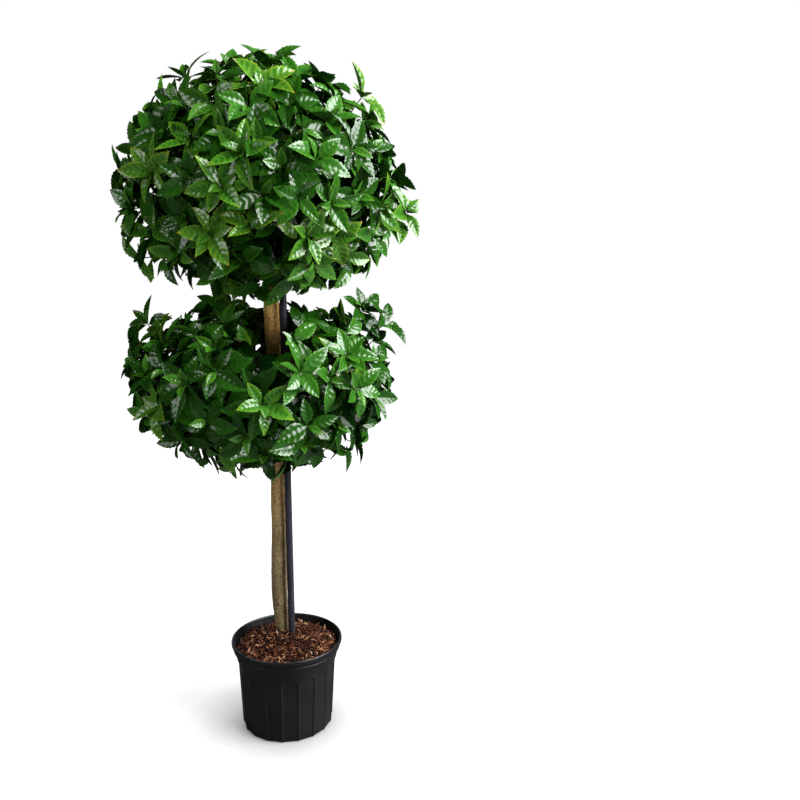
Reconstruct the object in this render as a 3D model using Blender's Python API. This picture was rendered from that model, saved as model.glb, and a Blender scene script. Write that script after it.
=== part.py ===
"""An artificial double-ball holly topiary in a black fluted nursery pot.

Metres, +Z up. The origin is under the middle of the pot, +X is to the right and -Y is the front.
A wooden trunk and a straight pole rise from a weighted fill through a lower ball of leaves into
an upper one. Each ball is one clipped mass: a dense core on short boughs, with twigs that end in
whorls of leaves.
"""

import math
import random

import bmesh
import bpy
from mathutils import Matrix, Vector, noise
from mathutils.bvhtree import BVHTree

# Clearance between pieces that touch
GAP = 0.0003

# Finishes: base colour and roughness
POT_FINISH = ((0.012, 0.013, 0.015), 0.42)
FILL_FINISH = ((0.16, 0.15, 0.14), 0.90)
MULCH_FINISH = ((0.15, 0.06, 0.035), 0.85)
TRUNK_FINISH = ((0.23, 0.15, 0.075), 0.80)
POLE_FINISH = ((0.018, 0.020, 0.026), 0.50)
BOUGH_FINISH = ((0.20, 0.12, 0.06), 0.80)
LEAF_FINISH = ((0.035, 0.14, 0.03), 0.38)
SMOOTH_ANGLE = math.radians(35.0)

# Pot: a thin black shell with eighteen sunk panels between ridges, a collar and a rolled lip
POT_HEIGHT = 0.222
LIP_RADIUS = 0.1365
LIP_DEPTH = 0.010
COLLAR_RADIUS = 0.131
COLLAR_FOOT_RADIUS = 0.1235
COLLAR_FOOT_Z = 0.176
BODY_TOP_RADIUS = 0.121
BODY_TOP_Z = 0.170
BODY_FOOT_RADIUS = 0.1125
FOOT_CHAMFER_RADIUS = 0.1085
FOOT_CHAMFER_Z = 0.006
WALL = 0.0030
FLOOR = 0.004
FLUTES = 18
FLUTE_DEPTH = 0.0016
FLUTE_EDGE = math.radians(3.0)
FLUTE_ARCH = 0.009
FIRST_RIDGE = math.radians(-89.0)
LIP_ROUND = 0.0015
INNER_WALL = (
    (BODY_FOOT_RADIUS - FLUTE_DEPTH - WALL, FLOOR),
    (BODY_TOP_RADIUS - FLUTE_DEPTH - WALL, BODY_TOP_Z - FLUTE_ARCH),
    (COLLAR_FOOT_RADIUS - WALL, COLLAR_FOOT_Z),
    (COLLAR_RADIUS - WALL, POT_HEIGHT - LIP_DEPTH - WALL),
)

# Fill and mulch inside the pot
FILL_TOP = 0.200
FILL_SIDES = 24
MULCH_EDGE_Z = 0.205
MULCH_CROWN_Z = 0.220
MULCH_LUMP = 0.0022
MULCH_LUMP_PITCH = 60.0
MULCH_SIDES = 28
MULCH_RINGS = (1.0, 0.84, 0.58, 0.30)

# Trunk: height, centre x, centre y and radius at a few stations
TRUNK_STATIONS = (
    (FILL_TOP + GAP, -0.0125, 0.0290, 0.0142),
    (0.256, -0.0180, 0.0305, 0.0167),
    (0.337, -0.0218, 0.0315, 0.0187),
    (0.492, -0.0201, 0.0325, 0.0179),
    (0.643, -0.0212, 0.0330, 0.0171),
    (1.033, -0.0290, 0.0330, 0.0170),
    (1.276, -0.0345, 0.0300, 0.0145),
)
TRUNK_RINGS = 22
TRUNK_SIDES = 12
TRUNK_LUMP = 0.0006
TRUNK_LUMP_PITCH = 28.0

# Pole: straight, dark, beside the trunk
POLE_RADIUS = 0.0087
POLE_SIDES = 12
POLE_FOOT = Vector((0.0108, 0.0125, FILL_TOP + GAP))
POLE_TOP = Vector((-0.0008, 0.0115, 1.276))

# Boughs: they start at a share of their climb and bend up along their length
BOUGH_SIDES = 8
BOUGH_RINGS = 6
BOUGH_TIP_SHARE = 0.68
BOUGH_SOCKET = 0.006
BOUGH_REACH = 0.15
BOUGH_FIRST_BEND = 0.75
BOUGH_BEND_GAIN = 0.50
BOUGH_STEP = 0.001
BOUGH_SHORTEST = 0.037
BOUGH_LIMIT = 0.20
RAY_STEP = 0.00001

# Leaves, in whorls on a small hub
LEAF_LENGTH = (0.074, 0.088)
LEAF_WIDTH_SHARE = 0.48
LEAF_WIDEST = 0.45
LEAF_THICKNESS = 0.0020
LEAF_DROOP = 0.10
LEAF_RISE = (math.radians(8.0), math.radians(36.0))
LEAF_TRIES = 4
WHORL_LEAVES = (5, 6)
HUB_RADIUS = 0.0056
HUB_HALF_HEIGHT = 0.0020
HUB_NECK = 0.0060
TWIG_SIDES = 3
TWIG_RADII = (0.0038, 0.0030)
TWIG_SAG = 0.12
OUTWARD_PULL = 0.7
TWIG_PULL = 0.5
STEM_RADII = (0.0066, 0.0050)
STEM_SUNK = 0.012
FORK_SHARE = 0.45
LIMB_MARGIN = 0.0015

# How the whorls are spread
SITE_TRIES = 4000
WHORL_DEPTH = 0.035
STEM_SPREAD = 1.75
TIP_SLACK = 0.008
CORE_LUMP = 0.018
CORE_LUMP_PITCH = 11.0
CORE_TURNS = 22
CORE_STEPS = 9
CORE_RIM_SHARE = 1.25

# The gap in the lower ball's top through which the trunk shows from the front
WINDOW_LEFT = -0.055
WINDOW_RIGHT = 0.020
WINDOW_BACK = 0.0325
WINDOW_SILL = 0.924
WINDOW_SLOPE = 0.127


def remove_everything():
    for item in list(bpy.data.objects):
        bpy.data.objects.remove(item)


def material(name, finish):
    colour, roughness = finish
    made = bpy.data.materials.new(name)
    made.use_nodes = True
    shader = made.node_tree.nodes["Principled BSDF"]
    shader.inputs["Base Color"].default_value = (*colour, 1.0)
    shader.inputs["Roughness"].default_value = roughness
    shader.inputs["Metallic"].default_value = 0.0
    made.diffuse_color = (*colour, 1.0)
    return made


def add_object(name, shape, finish=None, smooth=False):
    """Links a bmesh to the scene as an object."""
    bmesh.ops.recalc_face_normals(shape, faces=shape.faces)
    mesh = bpy.data.meshes.new(name)
    shape.to_mesh(mesh)
    shape.free()
    if smooth:
        mesh.shade_smooth()
        mesh.set_sharp_from_angle(angle=SMOOTH_ANGLE)
    item = bpy.data.objects.new(name, mesh)
    if finish is not None:
        mesh.materials.append(finish)
    bpy.context.scene.collection.objects.link(item)
    return item


def skin_rings(rings):
    """A closed bmesh through rings of equal count, flat at both ends."""
    shape = bmesh.new()
    loops = [[shape.verts.new(point) for point in ring] for ring in rings]
    count = len(loops[0])
    for low, high in zip(loops, loops[1:]):
        for i in range(count):
            j = (i + 1) % count
            shape.faces.new((low[i], low[j], high[j], high[i]))
    shape.faces.new(loops[0][::-1])
    shape.faces.new(loops[-1])
    return shape


def circle(centre, radius, sides, axis=Vector((0, 0, 1)), turn=0.0):
    """Points on a circle square to an axis."""
    turned = axis.to_track_quat("Z", "Y")
    points = []
    for i in range(sides):
        angle = turn + math.tau * i / sides
        points.append(centre + turned @ Vector((radius * math.cos(angle), radius * math.sin(angle), 0)))
    return points


def bake_modifiers(item):
    """Keeps the shape that an object's modifiers give, without the modifiers."""
    depsgraph = bpy.context.evaluated_depsgraph_get()
    mesh = bpy.data.meshes.new_from_object(item.evaluated_get(depsgraph))
    item.modifiers.clear()
    item.data = mesh


def combine(item, others, operation):
    """One Boolean of an object with a collection of others, which are then removed."""
    group = bpy.data.collections.new(item.name + "_" + operation.lower())
    bpy.context.scene.collection.children.link(group)
    for other in others:
        group.objects.link(other)
    modifier = item.modifiers.new(operation.title(), "BOOLEAN")
    modifier.operation = operation
    modifier.operand_type = "COLLECTION"
    modifier.collection = group
    bake_modifiers(item)
    for other in others:
        bpy.data.objects.remove(other)
    bpy.data.collections.remove(group)


def volume_of(faces):
    """Signed volume inside some faces, negative for the inner wall of a hollow."""
    total = 0.0
    for face in faces:
        corners = [corner.co for corner in face.verts]
        for b, c in zip(corners[1:], corners[2:]):
            total += corners[0].dot(b.cross(c)) / 6.0
    return total


def keep_main_body(item):
    """Drops loose scraps, and fills hollows by dropping their inner walls."""
    shape = bmesh.new()
    shape.from_mesh(item.data)
    unseen = set(shape.faces)
    bodies = []
    while unseen:
        queue = [unseen.pop()]
        body = list(queue)
        while queue:
            for edge in queue.pop().edges:
                for face in edge.link_faces:
                    if face in unseen:
                        unseen.remove(face)
                        queue.append(face)
                        body.append(face)
        bodies.append(body)
    bodies.sort(key=volume_of)
    extra = [face for body in bodies[:-1] for face in body]
    bmesh.ops.delete(shape, geom=extra, context="FACES")
    loose = [corner for corner in shape.verts if not corner.link_faces]
    bmesh.ops.delete(shape, geom=loose, context="VERTS")
    shape.to_mesh(item.data)
    shape.free()


# Pot

def pot_angles():
    """Four bearings for each flute: its ridge, and its panel's edge, middle and other edge."""
    angles = []
    for i in range(FLUTES):
        ridge = FIRST_RIDGE + math.tau * i / FLUTES
        pitch = math.tau / FLUTES
        angles += [ridge, ridge + FLUTE_EDGE, ridge + pitch / 2, ridge + pitch - FLUTE_EDGE]
    return angles


def pot_ring(radius, z, sunk=0.0, arch=0.0):
    """One ring round the pot: ridges at the radius, panels sunk below it, arched over if asked."""
    ring = []
    for i, angle in enumerate(pot_angles()):
        on_ridge = i % 4 == 0
        at_middle = i % 4 == 2
        r = radius if on_ridge else radius - sunk
        height = z + (arch if at_middle or on_ridge else 0.0)
        ring.append(Vector((r * math.cos(angle), r * math.sin(angle), height)))
    return ring


def make_pot():
    lip_foot = POT_HEIGHT - LIP_DEPTH
    rings = [
        pot_ring(FOOT_CHAMFER_RADIUS, 0.0),
        pot_ring(BODY_FOOT_RADIUS, FOOT_CHAMFER_Z, FLUTE_DEPTH),
        pot_ring(BODY_TOP_RADIUS, BODY_TOP_Z - FLUTE_ARCH, FLUTE_DEPTH, FLUTE_ARCH / 2),
        pot_ring(COLLAR_FOOT_RADIUS, COLLAR_FOOT_Z),
        pot_ring((COLLAR_FOOT_RADIUS + COLLAR_RADIUS) / 2, (COLLAR_FOOT_Z + lip_foot) / 2),
        pot_ring(COLLAR_RADIUS, lip_foot - LIP_ROUND),
        pot_ring(LIP_RADIUS, lip_foot),
        pot_ring(LIP_RADIUS, POT_HEIGHT - 2 * LIP_ROUND),
        pot_ring(LIP_RADIUS - LIP_ROUND, POT_HEIGHT),
        pot_ring(LIP_RADIUS - WALL, POT_HEIGHT - LIP_ROUND),
    ]
    rings += [pot_ring(radius, z) for radius, z in reversed(INNER_WALL)]
    add_object("pot", skin_rings(rings), material("pot_plastic", POT_FINISH), True)


def inner_radius(z):
    """The pot's inside radius at a height, at the flattest place between two corners."""
    k = 0
    while k < len(INNER_WALL) - 2 and z > INNER_WALL[k + 1][1]:
        k += 1
    (low_radius, low_z), (high_radius, high_z) = INNER_WALL[k:k + 2]
    share = (z - low_z) / (high_z - low_z)
    widest_step = math.pi / FLUTES - FLUTE_EDGE
    return (low_radius + (high_radius - low_radius) * share) * math.cos(widest_step / 2)


def make_fill():
    heights = [FLOOR + GAP] + [z for _, z in INNER_WALL[1:3]] + [FILL_TOP]
    rings = [circle(Vector((0, 0, z)), inner_radius(z) - GAP, FILL_SIDES) for z in heights]
    add_object("pot_fill", skin_rings(rings), material("weight_fill", FILL_FINISH), True)


def make_mulch():
    """A low mound of bark over the fill, with holes for the trunk and the pole."""
    low = FILL_TOP + GAP
    edge_radius = inner_radius(MULCH_EDGE_Z) - GAP
    rings = [circle(Vector((0, 0, low)), inner_radius(low) - GAP, MULCH_SIDES)]
    for share in MULCH_RINGS:
        ring = circle(Vector((0, 0, 0)), share * edge_radius, MULCH_SIDES)
        for point in ring:
            mound = (MULCH_CROWN_Z - MULCH_EDGE_Z) * math.cos(share * math.pi / 2)
            lump = 0.0 if share == 1.0 else MULCH_LUMP * noise.noise(point * MULCH_LUMP_PITCH)
            point.z = MULCH_EDGE_Z + mound + lump
        rings.append(ring)
    mulch = add_object("mulch", skin_rings(rings), material("bark_mulch", MULCH_FINISH))
    combine(mulch, [make_trunk("trunk_hole", GAP), make_pole("pole_hole", GAP)], "DIFFERENCE")


# Limbs

def trunk_at(z):
    """Centre and radius of the trunk at a height, smoothly between its stations."""
    stations = TRUNK_STATIONS
    k = 0
    while k < len(stations) - 2 and z > stations[k + 1][0]:
        k += 1
    before = stations[max(k - 1, 0)]
    start, end = stations[k], stations[k + 1]
    after = stations[min(k + 2, len(stations) - 1)]
    span = end[0] - start[0]
    t = (z - start[0]) / span
    values = []
    for i in (1, 2, 3):
        slope_in = (end[i] - before[i]) / (end[0] - before[0]) * span
        slope_out = (after[i] - start[i]) / (after[0] - start[0]) * span
        values.append(start[i] * (2 * t**3 - 3 * t**2 + 1) + slope_in * (t**3 - 2 * t**2 + t)
                      + end[i] * (3 * t**2 - 2 * t**3) + slope_out * (t**3 - t**2))
    return Vector((values[0], values[1], z)), values[2]


def make_trunk(name, grow=0.0, finish=None):
    """The trunk, or a guide grown all round it."""
    foot, tip = TRUNK_STATIONS[0][0], TRUNK_STATIONS[-1][0]
    rings = []
    for i in range(TRUNK_RINGS + 1):
        z = foot + (tip - foot) * i / TRUNK_RINGS
        centre, radius = trunk_at(z)
        ring = circle(centre, radius + grow, TRUNK_SIDES)
        for point in ring:
            away = (point - centre).normalized()
            point += away * TRUNK_LUMP * noise.noise(2 * away + Vector((0, 0, TRUNK_LUMP_PITCH * z)))
        rings.append(ring)
    if grow:
        rings[0] = [point - Vector((0, 0, 4 * grow)) for point in rings[0]]
        rings[-1] = [point + Vector((0, 0, grow)) for point in rings[-1]]
    return add_object(name, skin_rings(rings), finish, True)


def make_pole(name, grow=0.0, finish=None):
    """The pole, or a guide grown all round it."""
    ends = (POLE_FOOT - Vector((0, 0, 4 * grow)), POLE_TOP + Vector((0, 0, grow)))
    rings = [circle(end, POLE_RADIUS + grow, POLE_SIDES) for end in ends]
    return add_object(name, skin_rings(rings), finish, True)


def search_tree(items):
    """A search tree over the faces of some objects."""
    corners, faces = [], []
    for item in items:
        start = len(corners)
        corners += [vertex.co.copy() for vertex in item.data.vertices]
        faces += [[start + i for i in polygon.vertices] for polygon in item.data.polygons]
    return BVHTree.FromPolygons(corners, faces)


def is_inside(tree, point):
    """True where a ray straight up leaves a closed shape once more than it enters it."""
    crossings = 0
    place = point
    while place is not None:
        place = tree.ray_cast(place, Vector((0, 0, 1)))[0]
        if place is not None:
            crossings += 1
            place = place + Vector((0, 0, RAY_STEP))
    return crossings % 2 == 1


class Bough:
    """One tapering limb: its height on the trunk, bearing, climb and root radius."""

    def __init__(self, name, root_z, bearing, climb, radius):
        self.name = name
        self.bearing = math.radians(bearing)
        self.climb = math.radians(climb)
        self.radius = radius
        self.root = trunk_at(root_z)[0]
        self.length = BOUGH_REACH

    def at(self, reach):
        """The point a reach along the bough, which starts flatter and bends upward."""
        bend = self.climb * (BOUGH_FIRST_BEND + BOUGH_BEND_GAIN * reach / BOUGH_REACH)
        flat = Vector((math.cos(self.bearing), math.sin(self.bearing), 0.0))
        return self.root + flat * reach * math.cos(bend) + Vector((0, 0, reach * math.sin(bend)))

    def end_in(self, core):
        """Ends the bough a socket's depth inside a core."""
        tree = search_tree([core])
        self.length = BOUGH_SHORTEST
        while not is_inside(tree, self.at(self.length)) and self.length < BOUGH_LIMIT:
            self.length += BOUGH_STEP
        self.length += BOUGH_SOCKET

    def make(self, name, grow=0.0, finish=None):
        """The bough from the trunk's middle, or a guide grown all round it."""
        rings = []
        for i in range(BOUGH_RINGS + 1):
            share = i / BOUGH_RINGS
            reach = self.length * share
            axis = (self.at(reach + BOUGH_STEP) - self.at(reach - BOUGH_STEP)).normalized()
            radius = self.radius * (1.0 + (BOUGH_TIP_SHARE - 1.0) * share) + grow
            centre = self.at(reach) + (axis * grow if i == BOUGH_RINGS else Vector())
            rings.append(circle(centre, radius, BOUGH_SIDES, axis))
        return add_object(name, skin_rings(rings), finish, True)


LOWER_BOUGHS = (
    Bough("lower_bough_1", 0.888, 8, 19, 0.0068),
    Bough("lower_bough_2", 0.850, 78, 16, 0.0066),
    Bough("lower_bough_3", 0.865, 150, 20, 0.0068),
    Bough("lower_bough_4", 0.835, 215, 14, 0.0068),
    Bough("lower_bough_5", 0.820, 288, 12, 0.0066),
)
UPPER_BOUGHS = (
    Bough("upper_bough_1", 1.150, 12, 31, 0.0066),
    Bough("upper_bough_2", 1.135, 84, 31, 0.0066),
    Bough("upper_bough_3", 1.150, 158, 31, 0.0066),
    Bough("upper_bough_4", 1.130, 228, 31, 0.0068),
    Bough("upper_bough_5", 1.142, 282, 31, 0.0066),
)


def make_bough(bough, finish):
    """The part of a bough that stands out of the trunk, shaped to the bark it leaves."""
    item = bough.make(bough.name, 0.0, finish)
    combine(item, [make_trunk("bough_seat", GAP)], "DIFFERENCE")
    keep_main_body(item)


# Foliage

def heading_of(bearing, climb):
    """A unit heading from a bearing and a climb in degrees."""
    flat = math.cos(math.radians(climb))
    return Vector((flat * math.cos(math.radians(bearing)), flat * math.sin(math.radians(bearing)),
                   math.sin(math.radians(climb))))


class Core:
    """A core's outer width, rise and drop, its hole, and the height of the hole's roof if it has one."""

    def __init__(self, width, rise, drop, hole, roof):
        self.width = width
        self.rise = rise
        self.drop = drop
        self.hole = hole
        self.roof = roof


class Ball:
    """A clipped ball: its middle, its reach each way, how square its top and its bottom are,
    how far the top dips, its core, and its outlying sprays as (bearing, climb, reach)."""

    def __init__(self, name, middle, half_width, rise, drop, powers, dip, core, spacing, seed, sprays):
        self.name = name
        self.middle = Vector(middle)
        self.half_width = half_width
        self.rise = rise
        self.drop = drop
        self.powers = powers
        self.dip = dip
        self.core = core
        self.spacing = spacing
        self.seed = seed
        self.sprays = sprays

    def reach(self, heading):
        """How far leaves reach from the middle along a unit heading."""
        flat = math.hypot(heading.x, heading.y) / self.half_width
        up = heading.z / self.rise if heading.z > 0 else -heading.z / self.drop
        power = self.powers[0] if heading.z > 0 else self.powers[1]
        dip = self.dip * math.exp(-((heading.angle(DIP_HEADING) / DIP_SPREAD) ** 2))
        return (flat**power + up**power) ** (-1.0 / power) * (1.0 - dip)


DIP_HEADING = heading_of(-90, 76)
DIP_SPREAD = math.radians(31)
LOWER_BALL = Ball(
    "lower_foliage", (-0.046, 0.0, 0.865), 0.325, 0.200, 0.230, (2.6, 1.7), 0.56,
    Core(0.230, 0.085, 0.108, 0.112, None), 0.093, 11,
    ((180, 27, 0.348), (132, 41, 0.300), (0, 36, 0.340), (2, 26, 0.352), (0, -33, 0.300),
     (-83, -52, 0.235)),
)
UPPER_BALL = Ball(
    "upper_foliage", (-0.036, 0.0, 1.322), 0.328, 0.290, 0.256, (1.65, 2.5), 0.0,
    Core(0.228, 0.185, 0.177, 0.100, 1.270), 0.097, 23,
    ((0, 85, 0.302), (180, -31, 0.366), (0, -11, 0.368), (0, 40, 0.325), (180, 53, 0.318),
     (180, 5, 0.350), (-88, 6, 0.345), (94, -4, 0.345)),
)


def revolve(shape, profile, turns, closed):
    """A bmesh turned from a profile of (radius, height), whose ends lie on the axis unless closed."""
    columns = []
    poles = {}
    for i in range(turns):
        turn = math.tau * i / turns
        column = []
        for k, (radius, height) in enumerate(profile):
            if radius == 0.0:
                if k not in poles:
                    poles[k] = shape.verts.new((0.0, 0.0, height))
                column.append(poles[k])
            else:
                column.append(shape.verts.new((radius * math.cos(turn), radius * math.sin(turn), height)))
        columns.append(column)
    steps = len(profile) if closed else len(profile) - 1
    for i in range(turns):
        here, there = columns[i], columns[(i + 1) % turns]
        for k in range(steps):
            m = (k + 1) % len(profile)
            corners = []
            for corner in (here[k], there[k], there[m], here[m]):
                if corner not in corners:
                    corners.append(corner)
            shape.faces.new(corners)


def make_core(ball):
    """A lumpy ring round the trunk, or a lumpy bell over the trunk's tip."""
    core = ball.core
    shape = bmesh.new()
    profile = []
    if core.roof is None:
        middle, half = (core.width + core.hole) / 2, (core.width - core.hole) / 2
        for k in range(CORE_STEPS):
            angle = math.tau * k / CORE_STEPS
            height = core.rise if math.sin(angle) > 0 else core.drop
            profile.append((middle + half * math.cos(angle), height * math.sin(angle)))
        revolve(shape, profile, CORE_TURNS, True)
    else:
        roof = core.roof - ball.middle.z
        low_angle = -math.acos((core.hole / core.width) * CORE_RIM_SHARE)
        profile = [(0.0, roof), (core.hole, roof)]
        for k in range(CORE_STEPS):
            angle = low_angle + (math.pi / 2 - low_angle) * k / (CORE_STEPS - 1)
            height = core.rise if angle > 0 else core.drop
            radius = core.width * math.cos(angle) if k < CORE_STEPS - 1 else 0.0
            profile.append((radius, height * math.sin(angle)))
        revolve(shape, profile, CORE_TURNS, False)
    for corner in shape.verts:
        away = corner.co.normalized()
        corner.co += away * CORE_LUMP * noise.noise(corner.co * CORE_LUMP_PITCH + Vector((0, 0, ball.seed)))
        corner.co += ball.middle
    return add_object(ball.name, shape, material(ball.name + "_leaf", LEAF_FINISH))


def twig_rings(path, radii, axis, turn):
    """Rings along a path whose last ring is square to the axis, without twist."""
    rings = []
    frame = axis.to_track_quat("Z", "Y")
    heading = axis
    for i in reversed(range(len(path))):
        if i < len(path) - 1:
            onward = (path[i + 1] - path[max(i - 1, 0)]).normalized()
            frame = heading.rotation_difference(onward) @ frame
            heading = onward
        ring = []
        for k in range(TWIG_SIDES):
            angle = turn + math.tau * k / TWIG_SIDES
            ring.append(path[i] + frame @ Vector((math.cos(angle), math.sin(angle), 0.0)) * radii[i])
        rings.append(ring)
    return rings[::-1]


def rings_tree(rings):
    """A search tree over the sides of a run of rings."""
    corners = [point for ring in rings for point in ring]
    sides = len(rings[0])
    faces = []
    for i in range(len(rings) - 1):
        for k in range(sides):
            m = (k + 1) % sides
            faces.append((i * sides + k, i * sides + m, (i + 1) * sides + m, (i + 1) * sides + k))
    return BVHTree.FromPolygons(corners, faces)


def leaf_points(place, axis, out, rng):
    """Root, right, left, ridge and tip of one leaf that leaves a hub along out and rises to the axis."""
    length = rng.uniform(*LEAF_LENGTH)
    rise = rng.uniform(*LEAF_RISE)
    along = out * math.cos(rise) + axis * math.sin(rise)
    side = axis.cross(out)
    upper = along.cross(side)
    root = place + out * HUB_RADIUS
    widest = root + along * length * LEAF_WIDEST
    half = side * length * LEAF_WIDTH_SHARE / 2
    tip = root + along * length - upper * length * LEAF_DROOP
    return root, widest - half, widest + half, widest + upper * LEAF_THICKNESS, tip


def leaf_tree(points):
    return BVHTree.FromPolygons(points, ((0, 1, 3), (0, 3, 2), (1, 4, 3), (3, 4, 2), (1, 2, 4)))


def make_sprig(path, radii, axis, leaves, rng, allowed):
    """A twig that ends in a hub with leaves all round, as one closed shape.

    A leaf that isn't allowed after a few tries leaves its side of the hub plain.
    """
    shape = bmesh.new()
    place = path[-1]
    turned = axis.to_track_quat("Z", "Y")
    spin = rng.uniform(0.0, math.tau / leaves)
    half = math.pi / leaves
    low, high = [], []
    for k in range(leaves):
        angle = spin + math.tau * k / leaves - half
        rim = turned @ Vector((math.cos(angle), math.sin(angle), 0.0)) * HUB_RADIUS / math.cos(half)
        low.append(shape.verts.new(place + rim - axis * HUB_HALF_HEIGHT))
        high.append(shape.verts.new(place + rim + axis * HUB_HALF_HEIGHT))
    shape.faces.new(high)

    neck = list(path[:-1]) + [place - axis * HUB_NECK]
    rings = twig_rings(neck, radii, axis, spin - half)
    loops = [[shape.verts.new(point) for point in ring] for ring in rings]
    shape.faces.new(loops[0])
    for under, over in zip(loops, loops[1:]):
        for k in range(TWIG_SIDES):
            m = (k + 1) % TWIG_SIDES
            shape.faces.new((under[k], under[m], over[m], over[k]))
    top = loops[-1]
    i = j = 0
    while i < leaves or j < TWIG_SIDES:
        here = low[i % leaves]
        if j == TWIG_SIDES or (i < leaves and (i + 1) / leaves <= (j + 1) / TWIG_SIDES):
            shape.faces.new((here, low[(i + 1) % leaves], top[j % TWIG_SIDES]))
            i += 1
        else:
            shape.faces.new((here, top[(j + 1) % TWIG_SIDES], top[j % TWIG_SIDES]))
            j += 1

    made = []
    for k in range(leaves):
        m = (k + 1) % leaves
        angle = spin + math.tau * k / leaves
        out = turned @ Vector((math.cos(angle), math.sin(angle), 0.0))
        points = None
        for _ in range(LEAF_TRIES):
            tried = leaf_points(place, axis, out, rng)
            if points is None and allowed(tried):
                points = tried
        if points is None:
            shape.faces.new((low[k], low[m], high[m], high[k]))
            continue
        made.append(leaf_tree(points))
        right, left, ridge, tip = [shape.verts.new(point) for point in points[1:]]
        for corners in (
            (high[k], high[m], ridge), (high[k], ridge, right), (high[m], left, ridge),
            (low[k], high[k], right), (low[m], left, high[m]), (low[k], left, low[m]),
            (low[k], right, left), (right, ridge, tip), (ridge, left, tip), (left, right, tip),
        ):
            shape.faces.new(corners)
    return add_object("sprig", shape), made


def even_sites(ball, spacing, depth, rng):
    """Places spread evenly over the ball, at a depth under its reach."""
    golden = math.pi * (3.0 - math.sqrt(5.0))
    headings = []
    for i in range(SITE_TRIES):
        z = 1.0 - 2.0 * (i + 0.5) / SITE_TRIES
        flat = math.sqrt(1.0 - z * z)
        headings.append(Vector((flat * math.cos(golden * i), flat * math.sin(golden * i), z)))
    rng.shuffle(headings)
    sites = []
    for bearing, climb, reach in ball.sprays:
        sites.append(ball.middle + heading_of(bearing, climb) * (reach - depth))
    for heading in headings:
        place = ball.middle + heading * (ball.reach(heading) - depth)
        if all((place - other).length > spacing for other in sites):
            sites.append(place)
    return sites


def within_reach(ball, point):
    """True inside the ball, or inside one of its outlying sprays."""
    away = point - ball.middle
    if away.length < ball.reach(away.normalized()) + TIP_SLACK:
        return True
    for bearing, climb, reach in ball.sprays:
        hub = ball.middle + heading_of(bearing, climb) * (reach - WHORL_DEPTH)
        if (hub - point).length < LEAF_LENGTH[1] + HUB_RADIUS and away.length < reach + TIP_SLACK / 2:
            return True
    return False


def make_limb_guides(grow):
    """Copies of every limb, grown all round."""
    guides = [make_trunk("trunk_guide", grow), make_pole("pole_guide", grow)]
    return guides + [bough.make("bough_guide", grow) for bough in LOWER_BOUGHS + UPPER_BOUGHS]


def in_window(ball, point):
    """True in front of the trunk, where it shows between the balls."""
    ahead = WINDOW_BACK - point.y
    above = point.z > WINDOW_SILL + WINDOW_SLOPE * ahead
    return ball is LOWER_BALL and WINDOW_LEFT < point.x < WINDOW_RIGHT and ahead > 0 and above


def make_foliage(ball, core, limbs, cutters):
    """Fuses branching twigs and their leaves on to a core, and cuts the whole clear of the limbs."""
    rng = random.Random(ball.seed)
    limb_search = search_tree(limbs)
    core_search = search_tree([core])
    grown = []

    def allowed(points):
        if not within_reach(ball, points[-1]):
            return False
        if any(in_window(ball, point) for point in points):
            return False
        leaf = leaf_tree(points)
        return not any(leaf.overlap(other) for other in [limb_search] + grown)

    forks = []
    for place in even_sites(ball, ball.spacing * STEM_SPREAD, WHORL_DEPTH, rng):
        seat, normal, _, _ = core_search.find_nearest(place)
        forks.append((place, seat - normal * STEM_SUNK, seat.lerp(place, FORK_SHARE)))
    bearers = {}
    for place in even_sites(ball, ball.spacing, WHORL_DEPTH, rng):
        k = min(range(len(forks)), key=lambda k: (forks[k][0] - place).length)
        bearers.setdefault(k, []).append(place)

    pieces = []
    for k, places in sorted(bearers.items()):
        _, root, fork = forks[k]
        places.sort(key=lambda place: (place - fork).angle(fork - root))
        stem_grown = False
        for place in places:
            heading = (place - fork).normalized()
            outward = (place - ball.middle).normalized()
            axis = (outward * OUTWARD_PULL + heading * TWIG_PULL).normalized()
            if stem_grown:
                path = (fork, place)
                radii = TWIG_RADII
            else:
                bend = fork.lerp(place, 0.5) - axis * (place - fork).length * TWIG_SAG
                path = (root, fork, bend, place)
                radii = STEM_RADII + TWIG_RADII
            twig = rings_tree(twig_rings(path, radii, axis, 0.0))
            if twig.overlap(limb_search) or in_window(ball, place):
                continue
            stem_grown = True
            sprig, leaves = make_sprig(path, radii, axis, rng.choice(WHORL_LEAVES), rng, allowed)
            pieces.append(sprig)
            grown += leaves + [twig]
    combine(core, pieces, "UNION")
    combine(core, cutters, "DIFFERENCE")
    keep_main_body(core)


def main():
    remove_everything()
    make_pot()
    make_fill()
    make_mulch()
    make_trunk("trunk", 0.0, material("trunk_wood", TRUNK_FINISH))
    make_pole("support_pole", 0.0, material("pole_black", POLE_FINISH))
    cores = {}
    for ball, boughs in ((LOWER_BALL, LOWER_BOUGHS), (UPPER_BALL, UPPER_BOUGHS)):
        cores[ball] = make_core(ball)
        for bough in boughs:
            bough.end_in(cores[ball])
            make_bough(bough, material(bough.name + "_wood", BOUGH_FINISH))
    limbs = make_limb_guides(LIMB_MARGIN)
    for ball, core in cores.items():
        make_foliage(ball, core, limbs, make_limb_guides(GAP))
    for limb in limbs:
        bpy.data.objects.remove(limb)


main()
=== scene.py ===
"""The looks of a potted double-ball holly topiary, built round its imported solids.

Metres, +Z up, in the frame of the solids. The limbs, the pot and the mulch are meshes with their
own relief. Twigs and leaves grow on from the limbs by one seeded rule for both balls.
"""

import math
import random
from dataclasses import dataclass

import bpy
import numpy as np
from mathutils import Matrix, Vector, noise
from mathutils.bvhtree import BVHTree


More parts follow.
